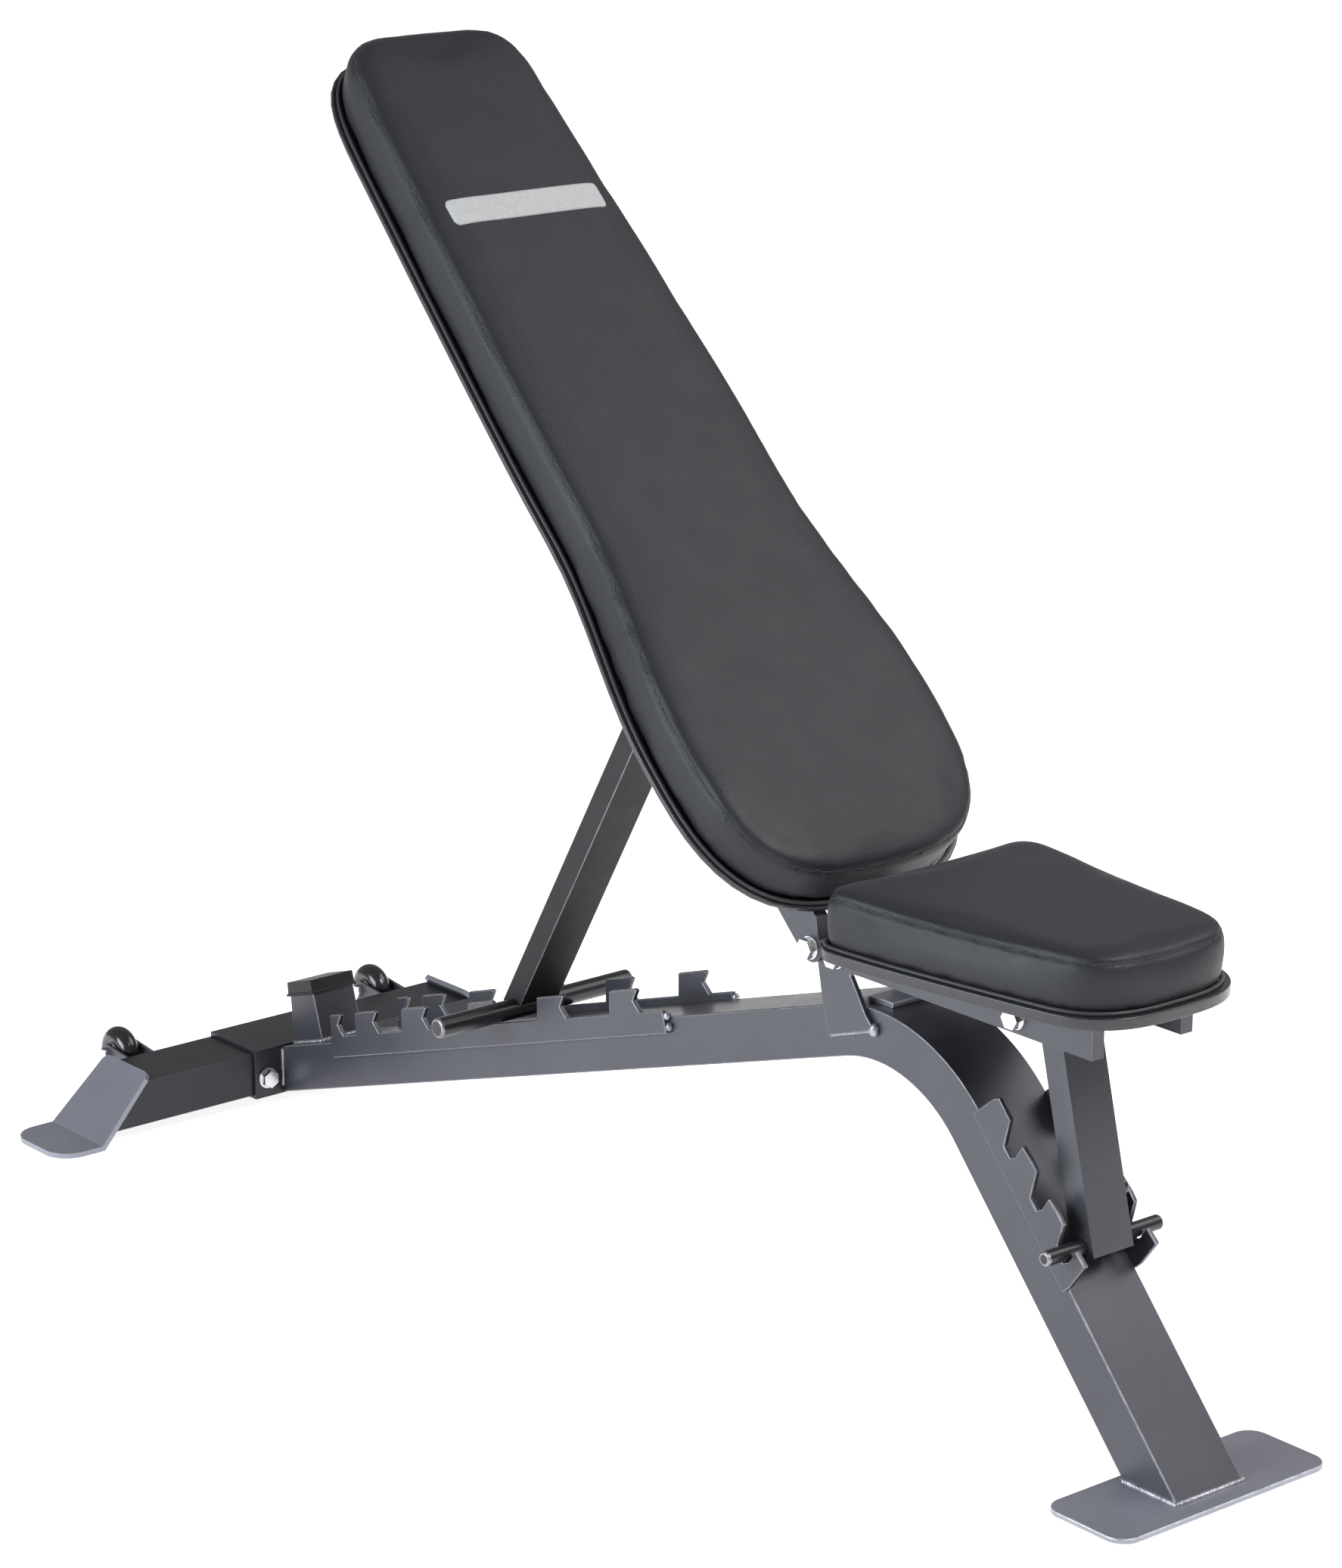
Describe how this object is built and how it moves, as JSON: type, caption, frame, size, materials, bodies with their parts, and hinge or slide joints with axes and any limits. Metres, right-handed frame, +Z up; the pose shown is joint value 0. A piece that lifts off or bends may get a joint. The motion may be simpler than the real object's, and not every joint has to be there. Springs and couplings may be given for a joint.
{
  "type": "adjustable weight bench",
  "caption": "Adjustable weight bench: padded back rest on a propping strut in a notched ladder, tilting padded seat on a post, bent tube frame with rear stabiliser and transport wheels.",
  "frame": {"origin": "on the floor at the middle of the bench's bounding box", "axes": "+X towards the seat end, +Y to the left of a sitter facing +X, +Z up; mirror plane at y = 0"},
  "size_m": [1.3854, 0.6, 1.0638],
  "materials": {
    "frame_paint": "satin metallic dark grey powder coat",
    "plate_paint": "satin metallic grey powder coat, worn brighter at the edges",
    "cross_rods": "satin black coated rod with bare bevelled ends",
    "plated_bolts": "bright zinc plate",
    "upholstery": "charcoal grained vinyl over firm foam",
    "rim_moulding": "gloss black edge moulding",
    "backing_board": "matt black covered board",
    "black_plastic": "gloss black moulding",
    "wheel_rubber": "smooth black tyre"
  },
  "bodies": {
    "frame": {"main_tube": "frame_paint", "foot_plate": "plate_paint", "rear_sleeve": "frame_paint", "stabiliser_tube": "frame_paint", "end_plate_near": "plate_paint", "end_plate_far": "plate_paint", "sleeve_bolts": "plated_bolts", "wheel_brackets": "frame_paint", "wheel_axles": "plated_bolts", "rest_post": "frame_paint", "rest_cap": "black_plastic", "back_ladder_near": "frame_paint", "back_ladder_far": "frame_paint", "seat_ladder_near": "frame_paint", "seat_ladder_far": "frame_paint", "pivot_plate_near": "frame_paint", "pivot_plate_far": "frame_paint", "stop_bracket": "plate_paint"},
    "backrest": {"back_rail_near": "frame_paint", "back_rail_far": "frame_paint", "back_straps": "frame_paint", "back_board": "backing_board", "back_rim": "rim_moulding", "back_cushion": "upholstery", "back_pivot_bolt": "plated_bolts", "strut_bolt": "plated_bolts", "strut_spacers": "frame_paint"},
    "strut": {"strut_tube": "frame_paint", "strut_rod": "cross_rods"},
    "seat": {"seat_rail_near": "frame_paint", "seat_rail_far": "frame_paint", "seat_straps": "frame_paint", "seat_board": "backing_board", "seat_rim": "rim_moulding", "seat_cushion": "upholstery", "seat_pivot_bolt": "plated_bolts", "post_bolt": "plated_bolts", "post_spacers": "frame_paint"},
    "seat_post": {"post_tube": "frame_paint", "seat_rod": "cross_rods", "post_stud": "black_plastic"},
    "wheel_left": {"wheel_far": "wheel_rubber", "wheel_hub_far": "black_plastic"},
    "wheel_right": {"wheel_near": "wheel_rubber", "wheel_hub_near": "black_plastic"}
  },
  "joints": [
    {"name": "back_recline", "type": "hinge", "parent": "frame", "child": "backrest", "pos_m": [0.25032, 0, 0.366], "axis": [0, 1, 0], "range_deg": [0, 16]},
    {"name": "strut_swing", "type": "hinge", "parent": "backrest", "child": "strut", "pos_m": [0.03169, 0, 0.58829], "axis": [0, 1, 0], "range_deg": [-16, 0]},
    {"name": "seat_tilt", "type": "hinge", "parent": "frame", "child": "seat", "pos_m": [0.28332, 0, 0.366], "axis": [0, 1, 0], "range_deg": [-21, 0]},
    {"name": "seat_post_swing", "type": "hinge", "parent": "seat", "child": "seat_post", "pos_m": [0.49732, 0, 0.37], "axis": [0, 1, 0], "range_deg": [0, 14]},
    {"name": "wheel_left_spin", "type": "hinge", "parent": "frame", "child": "wheel_left", "pos_m": [-0.66768, 0.153, 0.047], "axis": [0, 1, 0], "continuous": true},
    {"name": "wheel_right_spin", "type": "hinge", "parent": "frame", "child": "wheel_right", "pos_m": [-0.66768, -0.153, 0.047], "axis": [0, 1, 0], "continuous": true}
  ],
  "couplings": [
    {"joint": "strut_swing", "follows": "back_recline", "ratio": -1},
    {"joint": "seat_post_swing", "follows": "seat_tilt", "ratio": -0.65}
  ]
}
